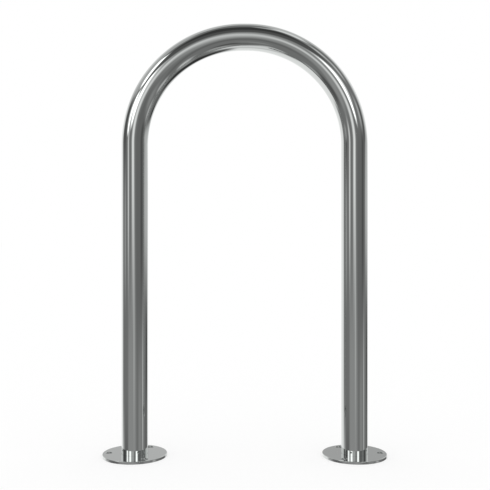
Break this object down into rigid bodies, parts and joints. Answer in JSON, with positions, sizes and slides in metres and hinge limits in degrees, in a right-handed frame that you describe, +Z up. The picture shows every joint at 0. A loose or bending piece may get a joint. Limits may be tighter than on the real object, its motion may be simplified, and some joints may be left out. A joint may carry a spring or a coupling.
{
  "type": "hoop bike rack",
  "caption": "Surface-mounted hoop bike rack: one polished stainless tube bent into an inverted U, welded into round base flanges drilled for ground anchors.",
  "frame": {"origin": "on the ground, midway between the two feet: the centre of the bottom of the box", "axes": "+X across the hoop from the left foot to the right foot as the picture shows them, +Y through the hoop away from the viewer, +Z up"},
  "size_m": [0.548, 0.124, 0.833],
  "materials": {
    "polished_stainless": "mirror-polished stainless steel",
    "weld_metal": "stainless weld metal, dressed and left with a light heat tint"
  },
  "bodies": {
    "root": {"hoop_tube": "polished_stainless", "left_base_flange": "polished_stainless", "left_weld_bead": "weld_metal", "right_base_flange": "polished_stainless", "right_weld_bead": "weld_metal"}
  },
  "joints": []
}
